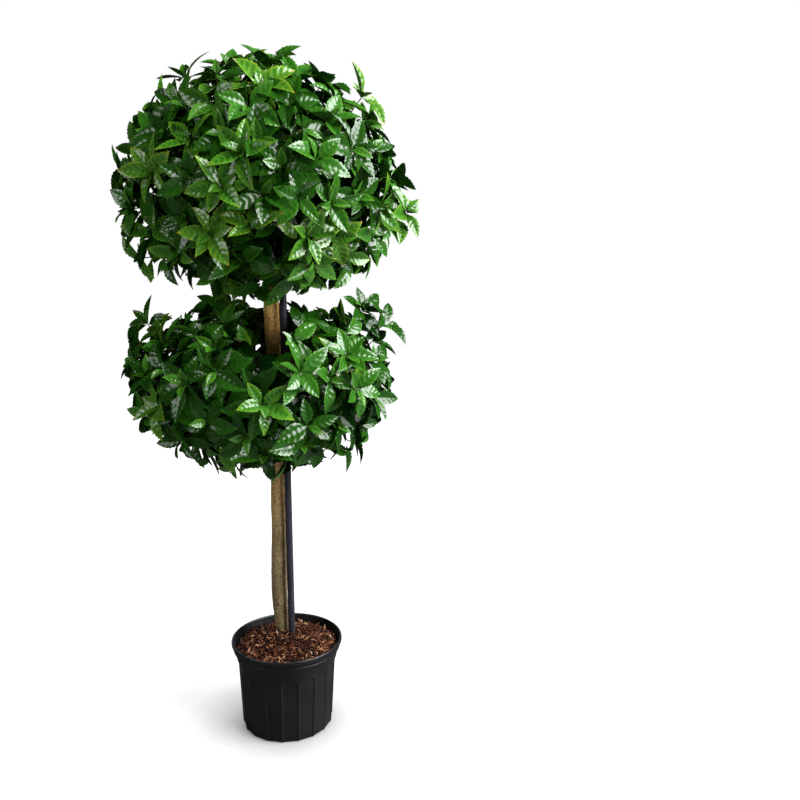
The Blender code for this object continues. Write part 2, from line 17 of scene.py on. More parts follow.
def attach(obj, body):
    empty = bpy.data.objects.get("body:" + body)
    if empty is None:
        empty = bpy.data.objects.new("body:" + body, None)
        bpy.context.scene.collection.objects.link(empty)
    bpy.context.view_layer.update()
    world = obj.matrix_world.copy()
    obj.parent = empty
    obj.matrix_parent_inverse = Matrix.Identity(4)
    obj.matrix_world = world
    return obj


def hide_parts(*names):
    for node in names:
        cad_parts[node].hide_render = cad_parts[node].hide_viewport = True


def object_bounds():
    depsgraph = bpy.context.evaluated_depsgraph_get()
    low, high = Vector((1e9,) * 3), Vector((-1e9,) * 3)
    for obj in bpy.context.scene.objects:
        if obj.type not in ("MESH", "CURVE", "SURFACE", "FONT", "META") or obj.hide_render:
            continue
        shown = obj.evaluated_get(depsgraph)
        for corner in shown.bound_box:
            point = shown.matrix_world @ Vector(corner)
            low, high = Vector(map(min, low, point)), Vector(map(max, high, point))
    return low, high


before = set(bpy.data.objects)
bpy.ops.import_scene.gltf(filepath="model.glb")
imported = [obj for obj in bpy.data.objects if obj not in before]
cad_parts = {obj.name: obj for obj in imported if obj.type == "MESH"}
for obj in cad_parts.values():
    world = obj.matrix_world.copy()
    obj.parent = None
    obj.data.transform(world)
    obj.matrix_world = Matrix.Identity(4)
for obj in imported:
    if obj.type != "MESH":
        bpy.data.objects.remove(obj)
CAD_LOW, CAD_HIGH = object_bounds()

# Camera: its place, how far it looks down and leans, and its lens
CAMERA_PLACE = (0.277, -1.896, 1.169)
CAMERA_DOWN = math.radians(10.26)
CAMERA_ROLL = math.radians(0.55)
CAMERA_LENS = 36.57
SENSOR = 36.0

# Floor and sky: how bright they look, how much light they give and how they show in gloss
FLOOR_SIZE = 60.0
FLOOR_DROP = 0.0002
FLOOR_BOUNCE = 0.18
FLOOR_GLOSS = 0.05
# The floor's glow, seen by the eye alone, rises from FLOOR_GLOW near the plant to full far off, and
# ambient occlusion darkens it round the pot's foot: a painted shadow
FLOOR_FADE = (0.5, 2.6)
FLOOR_GLOW = 0.70
FOOT_SHADE = 0.16
SKY_SEEN = 1.0
SKY_DIFFUSE = 0.11
SKY_GLOSSY = 0.03
CROWN_MIDDLE = (0.0, 0.0, 1.1)

# Noise from a noise node lies mostly in this range
NOISE_RANGE = (0.3, 0.7)

# Pot: eighteen flat panels between thin ridges, arched tops, a collar and a rolled lip
FLUTES = 18
PITCH = math.tau / FLUTES
FIRST_RIDGE = math.radians(-89.0)
RIDGE_WIDTH = math.radians(1.3)
RIDGE_STEP = 0.0016
ARCH_TOP = 0.1665
ARCH_DROP = 0.010
ARCH_SOFT = 0.004
POT_OUTSIDE = (
    # Foot and wall
    (0.1085, 0.0), (0.1112, 0.0022), (0.1122, 0.0060), (0.1133, 0.0300), (0.1146, 0.0560),
    (0.1159, 0.0820), (0.1172, 0.1080), (0.1186, 0.1340), (0.1193, 0.1470),
    # Closer rings, where the arches over the panels end
    (0.1195, 0.1510), (0.1197, 0.1540), (0.1199, 0.1565), (0.1201, 0.1590), (0.1203, 0.1612),
    (0.1204, 0.1632), (0.1205, 0.1650), (0.1207, 0.1668), (0.1209, 0.1690), (0.1210, 0.1712),
    # Collar
    (0.1214, 0.1730), (0.1222, 0.1742), (0.1232, 0.1752), (0.1238, 0.1770), (0.1243, 0.1800),
    (0.1250, 0.1840), (0.1259, 0.1880), (0.1271, 0.1920), (0.1284, 0.1955), (0.1293, 0.1975),
    # Bead, and the groove over it
    (0.1302, 0.1983), (0.1311, 0.1989), (0.1317, 0.1998), (0.1316, 0.2010), (0.1309, 0.2020),
    (0.1306, 0.2034), (0.1308, 0.2052),
    # Lip
    (0.1318, 0.2064), (0.1326, 0.2076), (0.1328, 0.2088), (0.1325, 0.2098), (0.1328, 0.2106),
    (0.1345, 0.2114), (0.1358, 0.2126), (0.1364, 0.2144), (0.1365, 0.2168), (0.1364, 0.2192),
    (0.1359, 0.2209), (0.1349, 0.2218), (0.1336, 0.2220),
)
POT_INSIDE = (
    (0.1324, 0.2215), (0.1316, 0.2202), (0.1311, 0.2180), (0.1306, 0.2150), (0.1301, 0.2120),
    (0.1296, 0.2100), (0.1291, 0.2080), (0.1285, 0.2045), (0.1275, 0.1990), (0.1205, 0.1760),
    (0.1164, 0.1610), (0.1080, 0.0040),
)
POT_CREASE = math.radians(50)

# Mulch: a mound of shredded bark, lumpy and heaped against the trunk
MULCH_EDGE_Z = 0.2035
MULCH_CROWN_Z = 0.2225
MULCH_RADIUS = 0.1268
MULCH_ROOT_Z = 0.2004
MOUND_RINGS = 26
MOUND_SIDES = 96
MOUND_SINK = 0.003
LUMP_GRAIN = 38.0
LUMP_HEIGHT = 0.0035
HEAP_PLACE = (-0.024, 0.010)
HEAP_SPREAD = 0.026
HEAP_RISE = 0.010

# Loose shreds: their form, how they lie, what they keep clear of, and their tints
CHIP_SEED = 5
CHIP_COUNT = 1800
CHIP_LENGTH = (0.008, 0.024)
CHIP_WIDTH = (0.0016, 0.0044)
CHIP_SLIM = 0.6
CHIP_THICKNESS = (0.0007, 0.0016)
CHIP_TAPER = ((0.0, 0.35), (0.3, 1.0), (0.7, 0.9), (1.0, 0.25))
CHIP_BOW = 0.16
CHIP_TWIST = 0.8
CHIP_PITCH = 24.0
CHIP_ROLL = 0.7
CHIP_LIFT = (0.0005, 0.0100)
CHIP_SETTLE = 0.65
CHIP_PAST_EDGE = 0.0008
CHIP_TRUNK_GAP = 0.0150
CHIP_POLE_GAP = 0.0092
CHIP_CREASE = math.radians(40)
CHIP_COLOURS = {
    "shred_red": (0.048, 0.015, 0.0075),
    "shred_dark": (0.010, 0.003, 0.002),
    "shred_rust": (0.122, 0.046, 0.020),
    "shred_tan": (0.255, 0.122, 0.062),
    "shred_pale": (0.370, 0.225, 0.135),
}
TINT_SPREAD = 1.9

# Trunk: height, centre x, centre y and radius at a few stations, and its bark
TRUNK_STATIONS = (
    (0.2003, -0.0125, 0.0290, 0.0142),
    (0.256, -0.0180, 0.0305, 0.0167),
    (0.337, -0.0218, 0.0315, 0.0187),
    (0.492, -0.0201, 0.0325, 0.0179),
    (0.643, -0.0212, 0.0330, 0.0171),
    (1.033, -0.0290, 0.0330, 0.0170),
    (1.276, -0.0345, 0.0300, 0.0145),
)
TRUNK_SIDES = 72
TRUNK_STEP = 0.0021
BARK_GROWTH = 0.0007
BARK_RIDGE = 0.00055
BARK_FINE = 0.6
BARK_LUMP = 0.0009
# Grain of the ridges, the fine ridges and the lumps: round the trunk, along it, and its shift
RIDGE_GRAIN = (5.5, 42.0, 0.0)
FINE_GRAIN = (13.0, 130.0, 7.0)
SWELL_GRAIN = (0.9, 17.0, 3.0)
# Dark, middle and light bark low on the trunk, high on it and on the boughs
BARK_LOW = ((0.024, 0.016, 0.008), (0.108, 0.077, 0.035), (0.213, 0.162, 0.084))
# The high colours are a more orange bark, lightened far past real bark: painted light where the balls
# shade the trunk
BARK_HIGH_PAINTED_LIGHT = ((0.108, 0.056, 0.016), (0.465, 0.265, 0.080), (0.800, 0.520, 0.185))
BARK_BOUGH = ((0.030, 0.017, 0.008), (0.105, 0.062, 0.028), (0.190, 0.125, 0.065))
BARK_STOPS = (0.05, 0.45, 0.95)
# Heights between which the low colours turn into the high ones
BARK_TURN = (0.45, 0.95)

# Knots: height, bearing and size, with a dimple in each
KNOTS = ((0.305, -70, 0.012), (0.452, 30, 0.010), (0.585, -120, 0.012), (0.962, -60, 0.010),
         (1.040, -110, 0.009), (0.700, 160, 0.012), (0.380, 140, 0.011))
KNOT_HEIGHT = 0.0022
KNOT_FALL = 2.2
DIMPLE_SHARE = 0.7
DIMPLE_FALL = 14.0

# Pole
POLE_FOOT = Vector((0.0108, 0.0125, 0.2003))
POLE_TOP = Vector((-0.0008, 0.0115, 1.276))
POLE_RADIUS = 0.0087
POLE_SIDES = 28
POLE_RINGS = 260
POLE_LAP = 0.00018
POLE_LAP_PITCH = 0.030
POLE_SWELL = 0.0002
POLE_GRAIN = 22.0

# Boughs: root height, bearing, climb, root radius
LOWER_BOUGHS = ((0.888, 8, 19, 0.0068), (0.850, 78, 16, 0.0066), (0.865, 150, 20, 0.0068),
                (0.835, 215, 14, 0.0068), (0.820, 288, 12, 0.0066))
UPPER_BOUGHS = ((1.150, 12, 31, 0.0066), (1.135, 84, 31, 0.0066), (1.150, 158, 31, 0.0066),
                (1.130, 228, 31, 0.0068), (1.142, 282, 31, 0.0066))
BOUGH_REACH = 0.15
BOUGH_FIRST_BEND = 0.75
BOUGH_BEND_GAIN = 0.50
BOUGH_TIP_SHARE = 0.62
BOUGH_SIDES = 14
BOUGH_RINGS = 30
BOUGH_RELIEF = 0.0006
LEADER_ROOT_Z = 1.266
LEADER_TOP = Vector((0.006, 0.0, 0.10))
LEADER_ROOT_SHARE = 0.55
LEADER_TIP_RADIUS = 0.004
LEADER_RELIEF = 0.0005
# Grain of a limb's relief: round it, from ring to ring and in space, and its shifts
LIMB_GRAIN = (3.0, 0.8, 60.0)
BOUGH_SHIFT = 9.0
LEADER_SHIFT = 70.0
# Rings at which stems can start: the first one, and steps on the boughs and on the leader
FORK_RING = 10
BOUGH_FORK_STEP = 4
LEADER_FORK_STEP = 6

# Stems and twigs
FORK_DEPTH = 0.135
FORK_SPACING = 0.120
CORE_ROOM = 0.055
CURVE_PULL = 0.36
STEM_RADII = (0.0036, 0.0025)
STEM_SIDES = 7
STEM_RINGS = 9
TWIG_RADII = (0.0021, 0.0013)
TWIG_SIDES = 5
TWIG_RINGS = 7

# Whorls of leaves: where they stand, and how many leaves they have, how long and how steep
SITE_TRIES = 5000
WHORL_DEPTH = 0.034
WHORL_SINK = 0.026
OUTER_SPACING = 0.065
INNER_LAYERS = ((0.078, 0.074), (0.125, 0.082), (0.185, 0.090))
WHORL_LEAVES = (4, 6)
WHORL_HUB = 0.003
LEAF_LENGTH = (0.052, 0.082)
LEAF_RISE = (6, 50)
SECOND_BACK = 0.026
SECOND_LEAVES = (2, 4)
SECOND_RISE = (-12, 20)
SECOND_HUB = 0.002
BUD_LEAVES = (0, 3)
BUD_LENGTH = (0.40 * LEAF_LENGTH[1], 0.62 * LEAF_LENGTH[1])
BUD_RISE = (45, 68)
BUD_HUB = 0.001
RING_STRAY = 0.16
AXIS_LIFT = 0.25
AXIS_TURN = 0.55
AXIS_STRAY = 0.26
SPRAY_LEAN = 0.50
SPRAY_FRONT = 0.2

# How a leaf is laid: its ranges of form, its tries, and what it keeps clear of
LEAF_TRIES = 4
LEAF_WIDTH = (0.37, 0.50)
LEAF_ROLL = 16
LEAF_FOLD = (8, 32)
LEAF_DROOP = (0.10, 0.75)
LEAF_TWIST = 0.25
QUILT = 0.042
QUILT_RANGE = (0.7, 1.25)
WAIST = 0.45
WAIST_SAG = 0.05
NEIGHBOUR_RANGE = 0.08
TIP_SLACK = 0.008
BOX_ROOM = 0.003
LONGEST_LEAF = 0.088
LIMB_CLEAR = 0.0025
PIECE_FACES = 90000

# One leaf's form, in shares of its length
STALK = 0.055
STALK_HALF = 0.012
OUTLINE_RISE = 0.86
OUTLINE_FALL = 1.16
VEIN_SWEEP = 0.72
VEIN_CURVE = 1.25
VEIN_ROWS = 3
BULGE_CURVE = 0.8
TOOTH = 0.017
TOOTH_FADE = 3.0
NOTCH = -0.6
FINE_ROWS = 18
FINE_COLUMNS = (-1.0, -0.86, -0.44, 0.0, 0.44, 0.86, 1.0)
PLAIN_ROWS = 12
PLAIN_COLUMNS = (-1.0, -0.5, 0.0, 0.5, 1.0)

# Where a leaf's flanks, margin, near-tip and tip start, and how far the last two lean back at the sides
FLANK_FROM = 0.4
MARGIN_FROM = 0.85
TIP_FROM = (0.70, 0.85)
TIP_SLANT = 0.06

# The gap in the lower ball's top through which the trunk shows from the front
WINDOW_LEFT = -0.050
WINDOW_RIGHT = 0.024
WINDOW_BACK = 0.0325
WINDOW_SILL = 0.926
WINDOW_SLOPE = 0.127

# Each leaf tint's colour and its gloss; the shade tint, near black and dull, is painted shade for leaves
# deep in the balls
LEAF_COLOURS = {
    "leaf_painted_shade": ((0.002, 0.014, 0.001), 0.10),
    "leaf_deep": ((0.007, 0.038, 0.0018), 0.28),
    "leaf_mid": ((0.014, 0.068, 0.004), 0.38),
    "leaf_fresh": ((0.027, 0.096, 0.006), 0.38),
    "leaf_light": ((0.048, 0.127, 0.008), 0.38),
    "leaf_lime": ((0.080, 0.155, 0.009), 0.36),
    "leaf_ochre": ((0.150, 0.150, 0.010), 0.36),
}
# The parts of a leaf with a colour of their own, and which colours they have in each scheme. The shade
# scheme is painted shade, and a bulge a step lighter than its flank is a painted highlight
HEART, FLANK, MARGIN, NEAR_TIP, TIP, BULGE_PAINTED_HIGHLIGHT = range(6)
SCHEMES = {
    "shade": (0, 0, 1, 0, 1, 1),
    "deep": (1, 1, 1, 1, 2, 1),
    "plain": (2, 2, 3, 2, 3, 2),
    "fresh": (2, 3, 3, 3, 4, 3),
    "tipped": (2, 3, 4, 4, 5, 3),
    "turned": (3, 3, 5, 4, 6, 4),
}
UPPER_MIX = 3 * ("deep",) + 3 * ("plain",) + ("fresh",) + 3 * ("tipped",) + ("turned",)
# The lower ball takes more deep greens than the upper: painted shade where the upper ball shades it
LOWER_MIX_PAINTED_SHADE = 7 * ("deep",) + 2 * ("plain",) + ("tipped", "turned")
# Inner whorls, deep in the balls, take the darkest greens: painted shade
INNER_MIX_PAINTED_SHADE = 3 * ("shade",) + ("deep",)


def polar(radius, turn):
    """The x and y of a place at a radius and an angle round the upright axis."""
    return radius * math.cos(turn), radius * math.sin(turn)


def heading_of(bearing, climb):
    """A unit heading from a bearing and a climb in degrees."""
    flat = math.cos(math.radians(climb))
    return Vector((*polar(flat, math.radians(bearing)), math.sin(math.radians(climb))))


DIP_HEADING = heading_of(-90, 76)
DIP_SPREAD = math.radians(31)


@dataclass
class Ball:
    """A clipped ball of leaves, and how far it reaches each way from its middle."""

    name: str
    middle: Vector
    half_width: float
    rise: float
    drop: float
    powers: tuple  # how square its top and its bottom are
    dip: float  # how far the middle of its top sinks, as a share
    seed: int
    mix: tuple  # the schemes that its whorls are dealt from
    boughs: tuple
    sprays: tuple  # bearing, climb and reach of each outlying spray
    rosettes: tuple  # bearing and climb of each rosette that shows from the front

    def reach(self, heading):
        """How far leaves reach from the middle along a unit heading."""
        flat = math.hypot(heading.x, heading.y) / self.half_width
        up = heading.z / self.rise if heading.z > 0 else -heading.z / self.drop
        power = self.powers[0] if heading.z > 0 else self.powers[1]
        dip = self.dip * math.exp(-((heading.angle(DIP_HEADING) / DIP_SPREAD) ** 2))
        return (flat**power + up**power) ** (-1.0 / power) * (1.0 - dip)


LOWER_BALL = Ball(
    name="lower", middle=Vector((-0.046, 0.0, 0.865)), half_width=0.325, rise=0.200, drop=0.230,
    powers=(2.6, 1.7), dip=0.56, seed=41, mix=LOWER_MIX_PAINTED_SHADE, boughs=LOWER_BOUGHS,
    sprays=((180, 27, 0.348), (132, 41, 0.300), (0, 36, 0.340), (2, 26, 0.352), (0, -33, 0.300),
            (-83, -52, 0.235), (-116, 55, 0.165), (-137, 56, 0.195), (180, 58, 0.205),
            (135, 50, 0.245), (-30, 50, 0.205), (22, 52, 0.210)),
    rosettes=((-107, 25), (-81, 0), (-84, 21), (-65, 12), (-38, 3), (-26, 29), (-61, -11), (-89, -16),
              (-13, -27), (-123, -5), (-155, -12), (-149, 34), (-61, 30), (-2, -4), (-126, 12),
              (-105, -8)),
)
UPPER_BALL = Ball(
    name="upper", middle=Vector((-0.036, 0.0, 1.322)), half_width=0.328, rise=0.290, drop=0.256,
    powers=(1.65, 2.5), dip=0.0, seed=67, mix=UPPER_MIX, boughs=UPPER_BOUGHS,
    sprays=((0, 85, 0.302), (180, -31, 0.366), (0, -11, 0.368), (0, 40, 0.325), (180, 53, 0.318),
            (180, 5, 0.350), (-88, 6, 0.345), (94, -4, 0.345), (-133, -74, 0.280)),
    rosettes=((-97, -6), (-86, -22), (-117, -19), (-60, 5), (-54, -11), (-62, -25), (-105, 30),
              (-129, 33), (-49, 23), (-81, -9), (-90, 58), (-27, 12), (-67, 31), (-94, -39),
              (-70, -43), (-36, -34), (-130, 1), (-163, -22), (-149, 56), (-161, 1), (-145, -35),
              (-83, 12)),
)


# Meshes

def link_object(name, data):
    """A new object in the scene."""
    item = bpy.data.objects.new(name, data)
    bpy.context.scene.collection.objects.link(item)
    return item


def smooth_object(name, mesh, materials, body="root"):
    """A smooth-shaded object with its materials, which rides on a body if one is given."""
    mesh.shade_smooth()
    for material in materials:
        mesh.materials.append(material)
    item = link_object(name, mesh)
    if body:
        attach(item, body)
    return item


def mesh_object(name, points, faces, materials, body="root"):
    """A smooth-shaded object from points and faces."""
    mesh = bpy.data.meshes.new(name)
    mesh.from_pydata([tuple(point) for point in points], [], [tuple(face) for face in faces])
    mesh.validate()
    return smooth_object(name, mesh, materials, body)


def ring_faces(rings, sides, first=0):
    """Faces of a tube of point rings from a first point on, with its two ends closed."""
    last = first + (rings - 1) * sides
    faces = []
    for ring in range(first, last, sides):
        for k in range(sides):
            m = (k + 1) % sides
            faces.append((ring + k, ring + m, ring + sides + m, ring + sides + k))
    return faces + [tuple(range(first, first + sides))[::-1], tuple(range(last, last + sides))]


def array_mesh(name, points, quads, triangles, indices, materials):
    """A smooth-shaded object from arrays: quads come first, then triangles, and indices colour both."""
    mesh = bpy.data.meshes.new(name)
    corners = np.concatenate([quads.ravel(), triangles.ravel()])
    sizes = np.concatenate([np.full(len(quads), 4), np.full(len(triangles), 3)])
    starts = np.concatenate([[0], np.cumsum(sizes)[:-1]])
    mesh.vertices.add(len(points))
    mesh.vertices.foreach_set("co", points.astype(np.float32).ravel())
    mesh.loops.add(len(corners))
    mesh.loops.foreach_set("vertex_index", corners.astype(np.int32))
    mesh.polygons.add(len(sizes))
    mesh.polygons.foreach_set("loop_start", starts.astype(np.int32))
    mesh.polygons.foreach_set("loop_total", sizes.astype(np.int32))
    mesh.polygons.foreach_set("material_index", indices.astype(np.int32))
    mesh.update(calc_edges=True)
    return smooth_object(name, mesh, materials)


# Materials

class Wiring:
    """The nodes of a material or of the sky, and a way to add more."""

    def __init__(self, owner):
        owner.use_nodes = True
        self.nodes = owner.node_tree.nodes
        self.links = owner.node_tree.links

    def fill(self, node, inputs):
        """Gives each of a node's inputs its value or its link."""
        for name, value in inputs.items():
            if isinstance(value, bpy.types.NodeSocket):
                self.links.new(value, node.inputs[name])
            else:
                node.inputs[name].default_value = value

    def node(self, kind, inputs, output, **settings):
        """Adds a node with its settings and inputs, and gives one of its outputs."""
        made = self.nodes.new("ShaderNode" + kind)
        for name, value in settings.items():
            setattr(made, name, value)
        self.fill(made, inputs)
        return made.outputs[output]


class Look(Wiring):
    """A Principled material."""

    def __init__(self, name, colour, roughness, gloss=0.5):
        self.made = bpy.data.materials.new(name)
        super().__init__(self.made)
        self.normal = None
        self.feed("Base Color", (*colour, 1.0))
        self.feed("Roughness", roughness)
        self.feed("Specular IOR Level", gloss)

    def feed(self, socket, value):
        """Gives one of the shader's sockets its value or its link."""
        self.fill(self.nodes["Principled BSDF"], {socket: value})

    def place(self):
        """Object space coordinates."""
        return self.node("TexCoord", {}, "Object")

    def grain(self, scale, detail=4.0, stretch=None):
        """Noise in object space, stretched along an axis if asked."""
        place = self.place()
        if stretch:
            place = self.node("Mapping", {"Vector": place, "Scale": stretch}, "Vector")
        return self.node("TexNoise", {"Vector": place, "Scale": scale, "Detail": detail}, "Fac")

    def ramp(self, value, stops):
        """A colour ramp over a value, from (position, colour) stops."""
        made = self.node("ValToRGB", {"Fac": value}, "Color")
        elements = made.node.color_ramp.elements
        while len(elements) < len(stops):
            elements.new(0.5)
        for element, (position, colour) in zip(elements, stops):
            element.position = position
            element.color = (*colour, 1.0)
        return made

    def map_range(self, value, source, target, smooth=False):
        """Maps a value from one range on to another, clamped."""
        ends = dict(zip(("From Min", "From Max", "To Min", "To Max"), (*source, *target)))
        kind = "SMOOTHSTEP" if smooth else "LINEAR"
        return self.node("MapRange", {"Value": value, **ends}, "Result", interpolation_type=kind)

    def spread(self, value, low, high):
        """Maps noise on to a range."""
        return self.map_range(value, NOISE_RANGE, (low, high))

    def combine(self, operation, first, second, clamp=False):
        """The sum or the product of two values."""
        return self.node("Math", {0: first, 1: second}, "Value", operation=operation, use_clamp=clamp)

    def bump(self, value, strength, distance):
        """Adds a bump to the shader's normal, over any earlier one."""
        inputs = {"Height": value, "Strength": strength, "Distance": distance}
        if self.normal:
            inputs["Normal"] = self.normal
        self.normal = self.node("Bump", inputs, "Normal")
        self.feed("Normal", self.normal)


def leaf_material(name, colour, gloss):
    """Moulded leaf: one plain green, glossy, with a fine grain."""
    look = Look(name, colour, roughness=0.3, gloss=gloss)
    look.feed("Roughness", look.spread(look.grain(60.0, detail=2.0), low=0.16, high=0.30))
    look.bump(look.grain(420.0, detail=2.0), strength=0.25, distance=0.0003)
    return look.made


def pot_material():
    """Satin black moulded plastic with a fine grain and a little dust."""
    look = Look("pot_black", (0.003, 0.003, 0.004), roughness=0.4, gloss=0.29)
    stops = ((0.35, (0.002, 0.002, 0.003)), (0.75, (0.005, 0.005, 0.006)))
    look.feed("Base Color", look.ramp(look.grain(14.0, detail=6.0), stops))
    look.feed("Roughness", look.spread(look.grain(30.0, detail=5.0), low=0.30, high=0.46))
    look.bump(look.grain(22.0, detail=3.0), strength=0.25, distance=0.0012)
    look.bump(look.grain(1300.0, detail=2.0), strength=0.12, distance=0.0003)
    return look.made


def bark_material(name, low_colours, high_colours_painted_light):
    """Fine streaky bark, with one set of colours low on the plant and another high on it; the trunk's
    high set is lightened, painted light where the balls shade it.
    """
    look = Look(name, low_colours[1], roughness=0.8, gloss=0.3)
    streak = look.grain(1.0, detail=8.0, stretch=(480.0, 480.0, 210.0))
    patch = look.grain(26.0, detail=5.0)
    streaks = look.spread(streak, low=-0.1, high=0.75)
    tone = look.combine("ADD", streaks, look.spread(patch, low=0.0, high=0.30), clamp=True)
    low = look.ramp(tone, tuple(zip(BARK_STOPS, low_colours)))
    high = look.ramp(tone, tuple(zip(BARK_STOPS, high_colours_painted_light)))
    height = look.node("SeparateXYZ", {"Vector": look.place()}, "Z")
    share = look.map_range(height, BARK_TURN, (0.0, 1.0))
    look.feed("Base Color", look.node("Mix", {"Factor": share, "A": low, "B": high}, "Result",
                                      data_type="RGBA"))
    look.feed("Roughness", look.spread(patch, low=0.68, high=0.9))
    look.bump(streak, strength=0.55, distance=0.0016)
    look.bump(look.grain(900.0, detail=3.0), strength=0.3, distance=0.0005)
    return look.made


def pole_material():
    """Matte blue-black sleeve."""
    look = Look("pole_sleeve", (0.010, 0.010, 0.014), roughness=0.5, gloss=0.22)
    tone = look.grain(1.0, detail=5.0, stretch=(160.0, 160.0, 26.0))
    stops = ((0.3, (0.0075, 0.0072, 0.011)), (0.7, (0.0175, 0.0170, 0.024)))
    look.feed("Base Color", look.ramp(tone, stops))
    look.feed("Roughness", look.spread(tone, low=0.42, high=0.6))
    look.bump(tone, strength=0.35, distance=0.0008)
    return look.made


def rough_material(name, colour):
    """Rough matter of one tint with a fine grain, such as shredded bark."""
    look = Look(name, colour, roughness=0.75, gloss=0.08)
    tone = look.grain(240.0, detail=5.0)
    dark = tuple(0.55 * value for value in colour)
    look.feed("Base Color", look.ramp(tone, ((0.3, dark), (0.65, colour))))
    look.feed("Roughness", look.spread(tone, low=0.55, high=0.85))
    look.bump(look.grain(700.0), strength=0.6, distance=0.0008)
    return look.made


def floor_material():
    """White floor that fades into the white sky, bounces little light and glows for the eye alone;
    ambient occlusion darkens the glow round the foot, a painted shadow.
    """
    look = Look("floor_white", (FLOOR_BOUNCE,) * 3, roughness=0.6)
    look.feed("Roughness", look.spread(look.grain(3.0), low=0.55, high=0.65))
    glossy = look.node("LightPath", {}, "Is Glossy Ray")
    look.feed("Base Color", look.map_range(glossy, (0.0, 1.0), (FLOOR_BOUNCE, FLOOR_GLOSS), smooth=True))
    shade = look.node("AmbientOcclusion", {"Distance": FOOT_SHADE}, "AO")
    far = look.node("VectorMath", {0: look.place()}, "Value", operation="LENGTH")
    glow = look.map_range(far, FLOOR_FADE, (FLOOR_GLOW, 1.0), smooth=True)
    for factor in (shade, shade, look.node("LightPath", {}, "Is Camera Ray")):
        glow = look.combine("MULTIPLY", glow, factor)
    look.feed("Emission Color", (1.0, 1.0, 1.0, 1.0))
    look.feed("Emission Strength", glow)
    return look.made


# Pot

def pot_columns():
    """Bearings round the pot, closer together at the ridges."""
    shares = (0.0, 0.022, 0.045, 0.070, 0.105, 0.16, 0.25, 0.37, 0.5)
    offsets = list(shares) + [1.0 - share for share in reversed(shares[1:-1])]
    return [FIRST_RIDGE + PITCH * (i + share) for i in range(FLUTES) for share in offsets]


def smooth_step(value):
    """A smooth rise from 0 to 1, level outside that range."""
    value = min(1.0, max(0.0, value))
    return value * value * (3.0 - 2.0 * value)


def sunk_depth(radius, z, bearing):
    """How far a panel lies under the round outline, which it meets at the ridges and over its arch."""
    offset = (bearing - FIRST_RIDGE) % PITCH - PITCH / 2
    edge = PITCH / 2 - abs(offset)
    arch = ARCH_TOP - ARCH_DROP * (abs(offset) / (PITCH / 2)) ** 3
    flat = radius * (1.0 - math.cos(PITCH / 2) / math.cos(offset))
    step = RIDGE_STEP * smooth_step(edge / RIDGE_WIDTH)
    return (flat + step) * smooth_step((arch - z) / ARCH_SOFT)


def make_pot():
    """The pot as one closed shell, outside and in."""
    columns = pot_columns()
    points = []
    for radius, z in POT_OUTSIDE:
        for bearing in columns:
            points.append((*polar(radius - sunk_depth(radius, z, bearing), bearing), z))
    for radius, z in POT_INSIDE:
        points += [(*polar(radius, bearing), z) for bearing in columns]
    faces = ring_faces(len(POT_OUTSIDE) + len(POT_INSIDE), len(columns))
    pot = mesh_object("pot_shell", points, faces, [pot_material()])
    pot.data.set_sharp_from_angle(angle=POT_CREASE)
    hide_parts("pot")


# Mulch

def mound_height(x, y):
    """Height of the mulch's base under the loose chips, heaped against the trunk."""
    share = min(1.0, math.hypot(x, y) / MULCH_RADIUS)
    lump = noise.noise(Vector((x, y, 0.0)) * LUMP_GRAIN) * LUMP_HEIGHT * (1.0 - share**4)
    heap = HEAP_RISE * math.exp(-(math.hypot(x - HEAP_PLACE[0], y - HEAP_PLACE[1]) / HEAP_SPREAD) ** 2)
    mound = (MULCH_CROWN_Z - MULCH_EDGE_Z) * math.cos(share * math.pi / 2)
    return MULCH_EDGE_Z + mound + heap + lump - MOUND_SINK


def make_mound():
    """The base of the mulch, down to the filling: dark brown bark made near black, painted shade in the
    gaps between the shreds.
    """
    points = []
    for i in range(MOUND_RINGS):
        radius = MULCH_RADIUS * (1.0 - i / MOUND_RINGS)
        for k in range(MOUND_SIDES):
            x, y = polar(radius, math.tau * k / MOUND_SIDES)
            points.append((x, y, mound_height(x, y)))
    low = [(x, y, MULCH_ROOT_Z) for x, y, _ in points[:MOUND_SIDES]]
    # Near black: painted shade where the base shows between the shreds
    base = rough_material("bark_base_painted_shade", (0.016, 0.006, 0.004))
    mound = mesh_object("mulch_base", low + points, ring_faces(MOUND_RINGS + 1, MOUND_SIDES), [base])
    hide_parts("mulch")


def chip_points(rng):
    """One shred of bark: a bent, twisted sliver with thin ends, as four rings of four points."""
    length = rng.uniform(*CHIP_LENGTH)
    width = rng.uniform(*CHIP_WIDTH) * (CHIP_SLIM + (1.0 - CHIP_SLIM) * length / CHIP_LENGTH[1])
    thick = rng.uniform(*CHIP_THICKNESS)
    bow = rng.uniform(-CHIP_BOW, CHIP_BOW) * length
    twist = rng.uniform(-CHIP_TWIST, CHIP_TWIST)
    points = []
    for share, narrow in CHIP_TAPER:
        turn = twist * (share - 0.5)
        lift = bow * (1.0 - (2.0 * share - 1.0) ** 2)
        for across, up in ((-1, -1), (1, -1), (1, 1), (-1, 1)):
            y, z = across * width / 2 * narrow, up * thick / 2 * narrow
            points.append(Vector((length * (share - 0.5), y * math.cos(turn) - z * math.sin(turn),
                                  y * math.sin(turn) + z * math.cos(turn) + lift)))
    return points


def spans(points, x=0.0, y=0.0):
    """How far points lie from an upright line."""
    return [math.hypot(point.x - x, point.y - y) for point in points]


